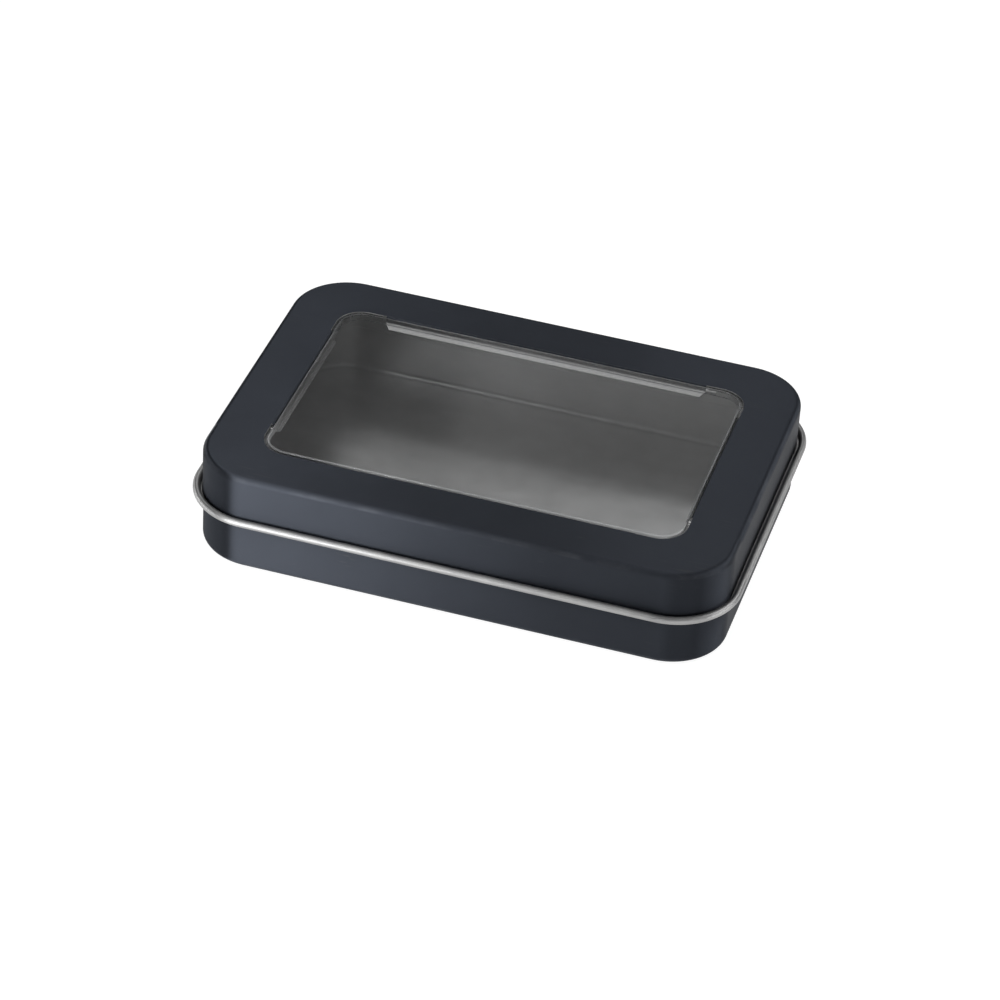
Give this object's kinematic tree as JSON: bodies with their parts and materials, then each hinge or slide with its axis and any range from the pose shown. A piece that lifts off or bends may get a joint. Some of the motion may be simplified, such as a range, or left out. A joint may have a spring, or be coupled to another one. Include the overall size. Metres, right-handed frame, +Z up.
{
  "type": "card game tin with hinged lid",
  "caption": "Low rectangular sheet-metal tin with round corners, a rolled lid edge, a clear window in the lid and a rear hinge.",
  "frame": {"origin": "on the surface that the tin stands on, under the middle of its walls", "axes": "+X along the length, +Y across the width towards the hinge, +Z up through the lid"},
  "size_m": [0.115, 0.0822, 0.0222],
  "materials": {
    "coat": "satin blue-black lacquer",
    "tinplate": "bright bare tinplate",
    "clear_sheet": "clear, glossy"
  },
  "bodies": {
    "base": {"base_tray": "coat", "base_rim_curl": "coat", "hinge_tongue_left": "tinplate", "hinge_tongue_right": "tinplate"},
    "lid": {"lid_shell": "coat", "lid_rolled_edge": "tinplate", "pane_tab_front": "tinplate", "pane_tab_back": "tinplate", "pane_tab_left": "tinplate", "pane_tab_right": "tinplate", "window_pane": "clear_sheet"}
  },
  "joints": [
    {"name": "lid_hinge", "type": "hinge", "parent": "base", "child": "lid", "pos_m": [0, 0.04015, 0.0121], "axis": [-1, 0, 0], "range_deg": [0, 110]}
  ]
}
